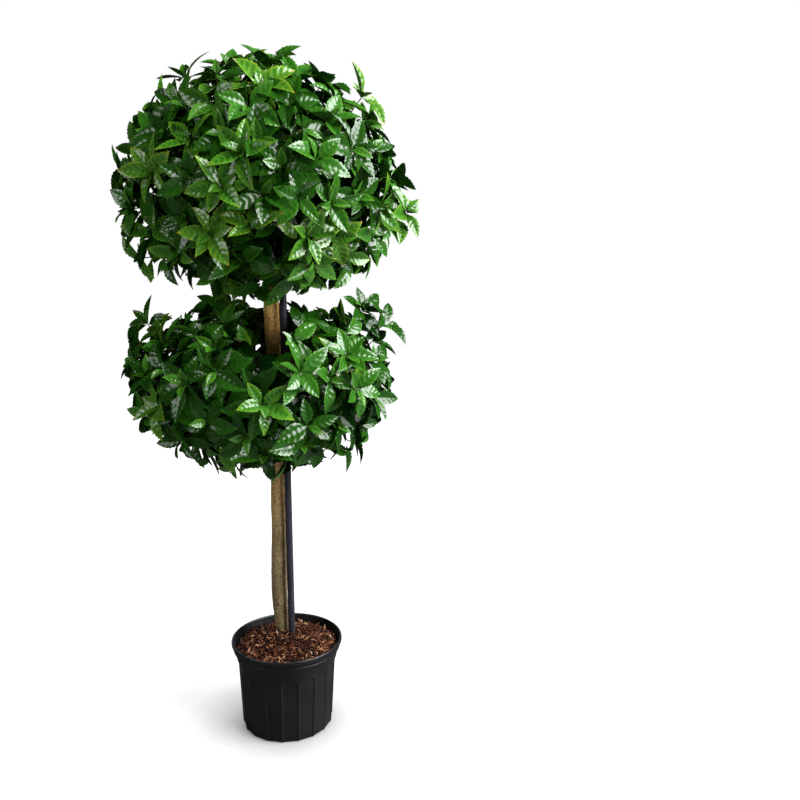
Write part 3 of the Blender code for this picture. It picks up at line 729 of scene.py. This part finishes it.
def make_chips():
    """Loose shreds over the mound, clear of the trunk, the pole and the pot's wall."""
    rng = random.Random(CHIP_SEED)
    points, faces, tints = [], [], []
    while len(tints) < CHIP_COUNT:
        shape = chip_points(rng)
        radius = MULCH_RADIUS * math.sqrt(rng.random())
        x, y = polar(radius, rng.uniform(0.0, math.tau))
        yaw, pitch = rng.uniform(0.0, math.tau), math.radians(rng.gauss(0.0, CHIP_PITCH))
        turned = (Matrix.Rotation(yaw, 3, "Z") @ Matrix.Rotation(pitch, 3, "Y")
                  @ Matrix.Rotation(rng.uniform(-CHIP_ROLL, CHIP_ROLL), 3, "X"))
        room = 1.0 - CHIP_SETTLE * (radius / MULCH_RADIUS) ** 3
        place = Vector((x, y, mound_height(x, y) + rng.uniform(*CHIP_LIFT) * room))
        placed = [place + turned @ point for point in shape]
        in_pot = (max(spans(placed)) <= MULCH_RADIUS + CHIP_PAST_EDGE
                  and min(point.z for point in placed) >= MULCH_ROOT_Z)
        clear = (min(spans(placed, *TRUNK_STATIONS[0][1:3])) >= CHIP_TRUNK_GAP
                 and min(spans(placed, POLE_FOOT.x, POLE_FOOT.y)) >= CHIP_POLE_GAP)
        if not in_pot or not clear:
            continue
        faces += ring_faces(len(CHIP_TAPER), 4, len(points))
        points += placed
        tints.append(min(len(CHIP_COLOURS) - 1, int(abs(rng.gauss(0.0, TINT_SPREAD)))))
    barks = [rough_material(name, colour) for name, colour in CHIP_COLOURS.items()]
    chips = mesh_object("mulch_shreds", points, faces, barks)
    chips.data.set_sharp_from_angle(angle=CHIP_CREASE)
    chips.data.polygons.foreach_set("material_index", np.repeat(tints, len(faces) // CHIP_COUNT))


# Limbs

def trunk_at(z):
    """Centre and radius of the trunk at a height, smoothly between its stations."""
    stations = TRUNK_STATIONS
    k = 0
    while k < len(stations) - 2 and z > stations[k + 1][0]:
        k += 1
    before = stations[max(k - 1, 0)]
    start, end = stations[k], stations[k + 1]
    after = stations[min(k + 2, len(stations) - 1)]
    span = end[0] - start[0]
    t = (z - start[0]) / span
    values = []
    for i in (1, 2, 3):
        slope_in = (end[i] - before[i]) / (end[0] - before[0]) * span
        slope_out = (after[i] - start[i]) / (after[0] - start[0]) * span
        values.append(start[i] * (2 * t**3 - 3 * t**2 + 1) + slope_in * (t**3 - 2 * t**2 + t)
                      + end[i] * (3 * t**2 - 2 * t**3) + slope_out * (t**3 - t**2))
    return Vector((values[0], values[1], z)), values[2]


def bark_noise(out, z, grain):
    """Noise round the trunk and along it."""
    around, along, shift = grain
    return noise.noise(Vector((out.x * around, out.y * around, z * along + shift)))


def knot_swell(turn, radius, z):
    """How far the knots push out the bark, each with a dimple in its middle."""
    swell = 0.0
    for knot_z, bearing, size in KNOTS:
        away = (turn - math.radians(bearing) + math.pi) % math.tau - math.pi
        far = (math.hypot(away * radius, z - knot_z) / size) ** 2
        dimple = DIMPLE_SHARE * math.exp(-DIMPLE_FALL * far)
        swell += KNOT_HEIGHT * math.exp(-KNOT_FALL * far) * (1.0 - dimple)
    return swell


def make_trunk():
    """The trunk with fine upright bark ridges, low lumps and a few knots."""
    foot, tip = TRUNK_STATIONS[0][0], TRUNK_STATIONS[-1][0]
    rings = int((tip - foot) / TRUNK_STEP) + 1
    points = []
    for i in range(rings):
        z = foot + (tip - foot) * i / (rings - 1)
        centre, radius = trunk_at(z)
        for k in range(TRUNK_SIDES):
            turn = math.tau * k / TRUNK_SIDES
            out = Vector((*polar(1.0, turn), 0.0))
            ridge = bark_noise(out, z, RIDGE_GRAIN) + BARK_FINE * bark_noise(out, z, FINE_GRAIN)
            lump = bark_noise(out, z, SWELL_GRAIN)
            relief = BARK_GROWTH + BARK_RIDGE * ridge + BARK_LUMP * lump + knot_swell(turn, radius, z)
            points.append(centre + out * (radius + relief))
    bark = bark_material("bark_trunk", BARK_LOW, BARK_HIGH_PAINTED_LIGHT)
    trunk = mesh_object("trunk_bark", points, ring_faces(rings, TRUNK_SIDES), [bark])
    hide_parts("trunk")


def make_pole():
    """The pole in its sleeve, with a faint lap that winds up it."""
    across = Vector((1, 0, 0))
    along = (POLE_TOP - POLE_FOOT).normalized()
    ahead = along.cross(across).normalized()
    across = ahead.cross(along)
    length = (POLE_TOP - POLE_FOOT).length
    points = []
    for i in range(POLE_RINGS):
        reach = length * i / (POLE_RINGS - 1)
        for k in range(POLE_SIDES):
            turn = math.tau * k / POLE_SIDES
            lap = (reach / POLE_LAP_PITCH - k / POLE_SIDES) % 1.0
            swell = noise.noise(Vector((*polar(1.0, turn), reach * POLE_GRAIN)))
            r = POLE_RADIUS - POLE_LAP * (1.0 + lap) + POLE_SWELL * swell
            out = across * math.cos(turn) + ahead * math.sin(turn)
            points.append(POLE_FOOT + along * reach + out * r)
    pole = mesh_object("pole_sleeve", points, ring_faces(POLE_RINGS, POLE_SIDES), [pole_material()])
    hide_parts("support_pole")


def curve(start, leave, end, arrive, rings):
    """Points on a cubic curve that leaves and arrives along two headings."""
    pull = (end - start).length * CURVE_PULL
    near, far = start + leave * pull, end - arrive * pull
    path = []
    for i in range(rings):
        t = i / (rings - 1)
        u = 1.0 - t
        path.append(start * u**3 + near * (3 * u * u * t) + far * (3 * u * t * t) + end * t**3)
    return path


class Tubes:
    """Many tapering tubes gathered into one piece."""

    def __init__(self):
        self.points = []
        self.faces = []

    def add(self, path, radii, sides, relief=0.0, shift=0.0):
        """Adds a tube along a path, evenly tapered between two radii, with some relief."""
        first = len(self.points)
        around, per_ring, in_space = LIMB_GRAIN
        heading = (path[1] - path[0]).normalized()
        turned = heading.to_track_quat("Z", "Y")
        for i, centre in enumerate(path):
            radius = radii[0] + (radii[1] - radii[0]) * i / (len(path) - 1)
            onward = (path[min(i + 1, len(path) - 1)] - path[max(i - 1, 0)]).normalized()
            turned = heading.rotation_difference(onward) @ turned
            heading = onward
            for k in range(sides):
                out = turned @ Vector((*polar(1.0, math.tau * k / sides), 0.0))
                spot = Vector((out.x * around, out.y * around, i * per_ring + shift)) + centre * in_space
                self.points.append(centre + out * (radius + relief * noise.noise(spot)))
        self.faces += ring_faces(len(path), sides, first)

    def build(self, name, material, *nodes):
        """Makes the piece, which replaces any nodes that are named."""
        item = mesh_object(name, self.points, self.faces, [material])
        if nodes:
            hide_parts(*nodes)


def bough_path(root_z, bearing, climb):
    """The middle line of a bough, which starts flat and bends upward, from inside the trunk."""
    root = trunk_at(root_z)[0]
    flat = heading_of(bearing, 0)
    path = []
    for i in range(BOUGH_RINGS):
        reach = BOUGH_REACH * i / (BOUGH_RINGS - 1)
        bend = math.radians(climb) * (BOUGH_FIRST_BEND + BOUGH_BEND_GAIN * reach / BOUGH_REACH)
        path.append(root + flat * reach * math.cos(bend) + Vector((0, 0, reach * math.sin(bend))))
    return path


def make_boughs(ball, wood):
    """The boughs of a ball as one piece, and the places along them where stems can start."""
    tubes = Tubes()
    starts = []
    for i, (root_z, bearing, climb, radius) in enumerate(ball.boughs):
        path = bough_path(root_z, bearing, climb)
        tubes.add(path, (radius, radius * BOUGH_TIP_SHARE), BOUGH_SIDES, BOUGH_RELIEF, BOUGH_SHIFT * i)
        for k in range(FORK_RING, BOUGH_RINGS, BOUGH_FORK_STEP):
            starts.append((path[k], (path[k] - path[k - 1]).normalized()))
        starts.append((path[-1], (path[-1] - path[-2]).normalized()))
    if ball is UPPER_BALL:
        upright = Vector((0, 0, 1))
        root, radius = trunk_at(LEADER_ROOT_Z)
        path = curve(root, upright, root + LEADER_TOP, Vector((0.1, 0, 1)).normalized(), BOUGH_RINGS)
        radii = (radius * LEADER_ROOT_SHARE, LEADER_TIP_RADIUS)
        tubes.add(path, radii, BOUGH_SIDES, LEADER_RELIEF, LEADER_SHIFT)
        starts += [(path[k], upright) for k in range(FORK_RING, BOUGH_RINGS, LEADER_FORK_STEP)]
    nodes = [f"{ball.name}_bough_{i + 1}" for i in range(len(ball.boughs))]
    tubes.build(ball.name + "_boughs", wood, *nodes)
    return starts


# Leaves

def outline(share):
    """Half width of a leaf along its length, 1 at its widest."""
    t = np.clip((share - STALK) / (1.0 - STALK), 0.0, 1.0)
    widest = OUTLINE_RISE / (OUTLINE_RISE + OUTLINE_FALL)
    most = widest**OUTLINE_RISE * (1.0 - widest) ** OUTLINE_FALL
    return t**OUTLINE_RISE * (1.0 - t) ** OUTLINE_FALL / most


class LeafForm:
    """The rows and columns of a leaf's mesh, and its faces with their colour zones.

    Rows sweep forward from the midrib as the side veins do, to end on the leaf's outline.
    A row in three lies on a vein, and the two after it ride up on the bulge between two veins.
    """

    def __init__(self, rows, columns):
        share = np.concatenate([[0.0], np.linspace(STALK, 1.0, rows + 1)[:-1]])
        self.column = np.array(columns)[None, :]
        side = np.abs(self.column)
        self.share = share[:, None]
        sweep = VEIN_SWEEP * self.share * (1.0 - self.share)
        self.half = outline(self.share + sweep)
        self.along = self.share + sweep * side**VEIN_CURVE
        order = np.arange(len(share))[:, None]
        swell = np.where(order % VEIN_ROWS == 1, 0.0, 1.0) * np.sin(np.pi * side**BULGE_CURVE)
        self.swell = swell * np.sqrt(self.half)
        tooth = np.where(order % 2 == 0, 1.0, NOTCH) * (side == 1.0)
        tooth = tooth * np.minimum(1.0, TOOTH_FADE * self.half)
        self.tooth = tooth * (rows > PLAIN_ROWS) * np.sign(self.column)
        count, wide = len(share), len(columns)
        grid = np.arange(count * wide).reshape(count, wide)
        corners = [grid[:-1, :-1], grid[:-1, 1:], grid[1:, 1:], grid[1:, :-1]]
        self.quads = np.stack(corners, -1).reshape(-1, 4)
        tip = count * wide
        self.triangles = np.stack([grid[-1, :-1], grid[-1, 1:], np.full(wide - 1, tip)], -1)
        middle = np.abs((np.array(columns)[:-1] + np.array(columns)[1:]) / 2)
        zone = np.where(middle > MARGIN_FROM, MARGIN, np.where(middle > FLANK_FROM, FLANK, HEART))
        zones = np.tile(zone, (count - 1, 1))
        # The tops of the bulges between the veins take their own colour, lighter in some schemes: a
        # painted highlight
        if rows > PLAIN_ROWS:
            zones[2::VEIN_ROWS, middle < MARGIN_FROM] = BULGE_PAINTED_HIGHLIGHT
        reached = share[:-1, None] + TIP_SLANT * middle[None, :]
        zones[reached > TIP_FROM[0]] = NEAR_TIP
        zones[reached > TIP_FROM[1]] = TIP
        self.zones = np.concatenate([zones.ravel(), np.full(wide - 1, TIP)])

    def points(self, length, width, fold, droop, twist, quilt):
        """The leaf in its own frame: across, along and up."""
        half = width / 2 * self.half + STALK_HALF * (1.0 - self.share) ** 3
        across = self.column * half + TOOTH * self.tooth
        lift = np.abs(across) * math.tan(fold) + quilt * self.swell
        turn = twist * self.along
        x = across * np.cos(turn) - lift * np.sin(turn)
        up = across * np.sin(turn) + lift * np.cos(turn)
        bend = droop * self.along
        y = np.sin(bend) / droop + up * np.sin(bend)
        z = -(1.0 - np.cos(bend)) / droop + up * np.cos(bend)
        grid = np.stack([x, y, z], -1).reshape(-1, 3)
        tip = np.array([[0.0, math.sin(droop) / droop, -(1.0 - math.cos(droop)) / droop]])
        return np.concatenate([grid, tip]) * length


FINE_LEAF = LeafForm(FINE_ROWS, FINE_COLUMNS)
PLAIN_LEAF = LeafForm(PLAIN_ROWS, PLAIN_COLUMNS)


class Foliage:
    """The leaves of one ball, gathered and then built as a few large pieces."""

    def __init__(self, ball, rng):
        self.ball = ball
        self.rng = rng
        self.leaves = []
        self.laid = []

    def in_reach(self, point):
        """True inside the ball, or inside one of its outlying sprays, and inside the solids' box."""
        if any(not low + BOX_ROOM < value < high - BOX_ROOM
               for low, value, high in zip(CAD_LOW, point, CAD_HIGH)):
            return False
        away = point - self.ball.middle
        if away.length < self.ball.reach(away.normalized()) + TIP_SLACK:
            return True
        for bearing, climb, reach in self.ball.sprays:
            hub = self.ball.middle + heading_of(bearing, climb) * (reach - WHORL_DEPTH)
            if (hub - point).length < LONGEST_LEAF and away.length < reach + TIP_SLACK / 2:
                return True
        return False

    def in_window(self, point):
        """True in front of the trunk, where it shows between the balls."""
        ahead = WINDOW_BACK - point.y
        above = point.z > WINDOW_SILL + WINDOW_SLOPE * ahead
        return self.ball is LOWER_BALL and WINDOW_LEFT < point.x < WINDOW_RIGHT and ahead > 0 and above

    def near_limb(self, point):
        """True where a point touches the trunk or the pole."""
        if not TRUNK_STATIONS[0][0] < point.z < TRUNK_STATIONS[-1][0]:
            return False
        centre, radius = trunk_at(point.z)
        if (point - centre).length < radius + LIMB_CLEAR:
            return True
        share = (point.z - POLE_FOOT.z) / (POLE_TOP.z - POLE_FOOT.z)
        return (point - POLE_FOOT.lerp(POLE_TOP, share)).length < POLE_RADIUS + LIMB_CLEAR

    def crossings(self, tree, centre):
        """How many earlier leaves a leaf would cut through."""
        return sum((place - centre).length_squared < NEIGHBOUR_RANGE**2 and bool(tree.overlap(other))
                   for other, place in self.laid)

    def add_leaf(self, root, out, axis, length, rises, form, scheme):
        """Adds one leaf from a root, or none if no try keeps it within reach and off the limbs."""
        rng = self.rng
        best = None
        for _ in range(LEAF_TRIES):
            rise = math.radians(rng.uniform(*rises))
            along = out * math.cos(rise) + axis * math.sin(rise)
            upper = axis * math.cos(rise) - out * math.sin(rise)
            roll = math.radians(rng.gauss(0.0, LEAF_ROLL))
            upper = Matrix.Rotation(roll, 3, along) @ upper
            side = along.cross(upper)
            width = rng.uniform(*LEAF_WIDTH)
            fold, droop = math.radians(rng.uniform(*LEAF_FOLD)), rng.uniform(*LEAF_DROOP)
            twist, quilt = rng.gauss(0.0, LEAF_TWIST), QUILT * rng.uniform(*QUILT_RANGE)
            bowed = along * math.sin(droop) / droop - upper * (1 - math.cos(droop)) / droop
            tip = root + bowed * length
            waist = root + along * length * WAIST - upper * length * WAIST_SAG * droop
            half = side * length * width * 0.5
            corners = (root, waist - half, waist + half, tip)
            if not all(self.in_reach(point) for point in corners[1:]):
                continue
            if any(self.in_window(point) or self.near_limb(point) for point in (*corners, waist)):
                continue
            tree = BVHTree.FromPolygons(corners, ((0, 1, 3), (0, 3, 2)))
            count = self.crossings(tree, waist)
            if best is None or count < best[0]:
                turned = np.array((side, along, upper))
                best = (count, turned, (width, fold, droop, twist, quilt), tree, waist)
            if count == 0:
                break
        if best is None:
            return
        _, turned, bends, tree, waist = best
        self.leaves.append((form, form.points(length, *bends) @ turned + np.array(root), SCHEMES[scheme]))
        self.laid.append((tree, waist))

    def add_ring(self, place, axis, count, lengths, rises, form, scheme, hub):
        """Adds leaves all round a twig at one place."""
        turned = axis.to_track_quat("Z", "Y")
        spin = self.rng.uniform(0.0, math.tau)
        for k in range(count):
            angle = spin + math.tau * (k + self.rng.uniform(-RING_STRAY, RING_STRAY)) / count
            out = turned @ Vector((*polar(1.0, angle), 0.0))
            length = self.rng.uniform(*lengths)
            self.add_leaf(place + out * hub, out, axis, length, rises, form, scheme)

    def build(self, slots):
        """Joins the leaves into pieces of no more than PIECE_FACES faces each."""
        batches, size = [[]], 0
        for leaf in self.leaves:
            faces = len(leaf[0].zones)
            if size + faces > PIECE_FACES:
                batches.append([])
                size = 0
            batches[-1].append(leaf)
            size += faces
        for number, batch in enumerate(batches, 1):
            points, quads, triangles, quad_tints, triangle_tints = [], [], [], [], []
            start = 0
            for form, placed, scheme in batch:
                tints = np.array(scheme)[form.zones]
                points.append(placed)
                quads.append(form.quads + start)
                triangles.append(form.triangles + start)
                quad_tints.append(tints[:len(form.quads)])
                triangle_tints.append(tints[len(form.quads):])
                start += len(placed)
            tints = np.concatenate(quad_tints + triangle_tints)
            piece = array_mesh(f"{self.ball.name}_leaves_{number}", np.concatenate(points),
                               np.concatenate(quads), np.concatenate(triangles), tints, slots)
            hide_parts(self.ball.name + "_foliage")


def even_sites(ball, spacing, depth, rng, first=()):
    """Places spread evenly over the ball, at a depth under its reach, after the first ones."""
    golden = math.pi * (3.0 - math.sqrt(5.0))
    headings = []
    for i in range(SITE_TRIES):
        z = 1.0 - 2.0 * (i + 0.5) / SITE_TRIES
        flat = math.sqrt(1.0 - z * z)
        headings.append(Vector((*polar(flat, golden * i), z)))
    rng.shuffle(headings)
    sites = list(first)
    for heading in headings:
        reach = ball.reach(heading) - depth
        place = ball.middle + heading * reach
        if reach > CORE_ROOM and all((place - other).length > spacing for other in sites):
            sites.append(place)
    return sites


def named_sites(ball):
    """The places of a ball's outlying sprays and of its rosettes that show from the front."""
    places = [ball.middle + heading_of(bearing, climb) * (reach - WHORL_DEPTH)
              for bearing, climb, reach in ball.sprays]
    for bearing, climb in ball.rosettes:
        heading = heading_of(bearing, climb)
        places.append(ball.middle + heading * (ball.reach(heading) - WHORL_DEPTH))
    return places


def add_twig(forks, place, is_outlier, ball, twigs, rng):
    """Adds a twig from the nearest fork, and gives its end and the heading of its end."""
    start, leave = min(forks, key=lambda item: (item[0] - place).length)
    outward = (place - ball.middle).normalized()
    place = place - outward * WHORL_SINK * rng.random() ** 2
    stray = Vector([rng.gauss(0.0, AXIS_STRAY) for _ in range(3)])
    lean = SPRAY_LEAN if is_outlier and outward.y < SPRAY_FRONT else 0.0
    lift = AXIS_LIFT + AXIS_TURN * max(0.0, -outward.z)
    axis = (outward + Vector((0.0, -lean, lift)) + stray).normalized()
    twigs.add(curve(start, leave, place, axis, TWIG_RINGS), TWIG_RADII, TWIG_SIDES)
    return place, axis


def make_foliage(ball, wood, green_wood, slots):
    """Stems fork from the boughs, twigs from the stems, and each twig ends in whorls of leaves."""
    rng = random.Random(ball.seed)
    starts = make_boughs(ball, wood)
    foliage = Foliage(ball, rng)
    stems, twigs = Tubes(), Tubes()
    forks = []
    for place in even_sites(ball, FORK_SPACING, FORK_DEPTH, rng):
        start, leave = min(starts, key=lambda item: (item[0] - place).length)
        arrive = ((place - ball.middle).normalized() + (place - start).normalized()).normalized()
        stems.add(curve(start, leave, place, arrive, STEM_RINGS), STEM_RADII, STEM_SIDES)
        forks.append((place, arrive))

    outer = even_sites(ball, OUTER_SPACING, WHORL_DEPTH, rng, named_sites(ball))
    inner = [place for depth, spacing in INNER_LAYERS for place in even_sites(ball, spacing, depth, rng)]
    for number, place in enumerate(outer + inner):
        if foliage.in_window(place) or foliage.near_limb(place):
            continue
        place, axis = add_twig(forks, place, number < len(ball.sprays), ball, twigs, rng)
        is_inner = number >= len(outer)
        # Inner whorls are dealt the darkest greens: painted shade deep in the ball
        scheme = rng.choice(INNER_MIX_PAINTED_SHADE if is_inner else ball.mix)
        form = PLAIN_LEAF if is_inner else FINE_LEAF
        count = rng.randint(*WHORL_LEAVES)
        foliage.add_ring(place, axis, count, LEAF_LENGTH, LEAF_RISE, form, scheme, WHORL_HUB)
        if is_inner:
            continue
        count = rng.randint(*BUD_LEAVES)
        foliage.add_ring(place, axis, count, BUD_LENGTH, BUD_RISE, form, "fresh", BUD_HUB)
        back = place - axis * SECOND_BACK
        count, scheme = rng.randint(*SECOND_LEAVES), rng.choice(ball.mix)
        foliage.add_ring(back, axis, count, LEAF_LENGTH, SECOND_RISE, form, scheme, SECOND_HUB)
    stems.build(ball.name + "_stems", wood)
    twigs.build(ball.name + "_twigs", green_wood)
    foliage.build(slots)


# Camera, light and floor

def add_camera():
    """The camera in front of the plant, a little right of it."""
    forward = Vector((0, math.cos(CAMERA_DOWN), -math.sin(CAMERA_DOWN)))
    upward = Vector((0, math.sin(CAMERA_DOWN), math.cos(CAMERA_DOWN)))
    data = bpy.data.cameras.new("camera")
    data.lens = CAMERA_LENS
    data.sensor_width = SENSOR
    camera = link_object("camera", data)
    turned = Matrix((Vector((1, 0, 0)), upward, -forward)).transposed()
    rolled = turned @ Matrix.Rotation(CAMERA_ROLL, 3, "Z")
    camera.matrix_world = Matrix.Translation(CAMERA_PLACE) @ rolled.to_4x4()
    bpy.context.scene.camera = camera


def add_light(name, place, size, power, in_gloss=True, target=CROWN_MIDDLE):
    """A square soft box that shines at a target and doesn't show itself."""
    data = bpy.data.lights.new(name, "AREA")
    data.size = size
    data.energy = power
    light = link_object(name, data)
    light.location = place
    light.rotation_euler = (Vector(target) - Vector(place)).to_track_quat("-Z", "Y").to_euler()
    light.visible_camera = False
    light.visible_glossy = in_gloss


def add_sky():
    """A sky that looks white and lights the plant more dimly, most of all in its gloss."""
    world = bpy.data.worlds.new("sky")
    sky = Wiring(world)
    strength = SKY_DIFFUSE
    for ray, level in (("Is Camera Ray", SKY_SEEN), ("Is Glossy Ray", SKY_GLOSSY)):
        factor = sky.node("LightPath", {}, ray)
        strength = sky.node("Mix", {"Factor": factor, "A": strength, "B": level}, "Result")
    sky.fill(sky.nodes["Background"], {"Color": (1.0, 1.0, 1.0, 1.0), "Strength": strength})
    bpy.context.scene.world = world


def add_stage():
    """White floor and sky, with soft boxes above on both sides."""
    half = FLOOR_SIZE / 2
    sides = ((-half, -half), (half, -half), (half, half), (-half, half))
    corners = [(x, y, -FLOOR_DROP) for x, y in sides]
    floor = mesh_object("floor", corners, [(0, 1, 2, 3)], [floor_material()], None)
    add_sky()
    bpy.context.scene.view_settings.view_transform = "Standard"
    add_light("key", (3.25, -1.10, 2.8), 3.2, 690)
    add_light("fill", (-2.6, -1.8, 2.0), 1.5, 46)
    add_light("top", (0.9, -0.5, 3.7), 1.5, 90, in_gloss=False)
    add_light("front", (-0.6, -2.8, 1.1), 0.7, 20, in_gloss=False, target=(0.0, 0.0, 1.0))
    add_light("back", (-0.3, 3.2, 2.7), 1.9, 40)
    add_light("back_left", (-2.4, 2.3, 2.3), 1.6, 95, in_gloss=False)
    add_light("back_right", (1.9, 2.8, 2.3), 1.6, 95, in_gloss=False)


def main():
    """Sets the stage and builds the plant from the pot up."""
    add_camera()
    add_stage()
    make_pot()
    make_mound()
    make_chips()
    make_trunk()
    make_pole()
    wood = bark_material("bark_bough", BARK_BOUGH, BARK_BOUGH)
    green_wood = rough_material("twig_green", (0.034, 0.046, 0.012))
    slots = [leaf_material(name, *look) for name, look in LEAF_COLOURS.items()]
    for ball in (LOWER_BALL, UPPER_BALL):
        make_foliage(ball, wood, green_wood, slots)
    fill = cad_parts["pot_fill"]
    fill.data.materials.clear()
    fill.data.materials.append(rough_material("fill_grey", (0.16, 0.15, 0.14)))


main()
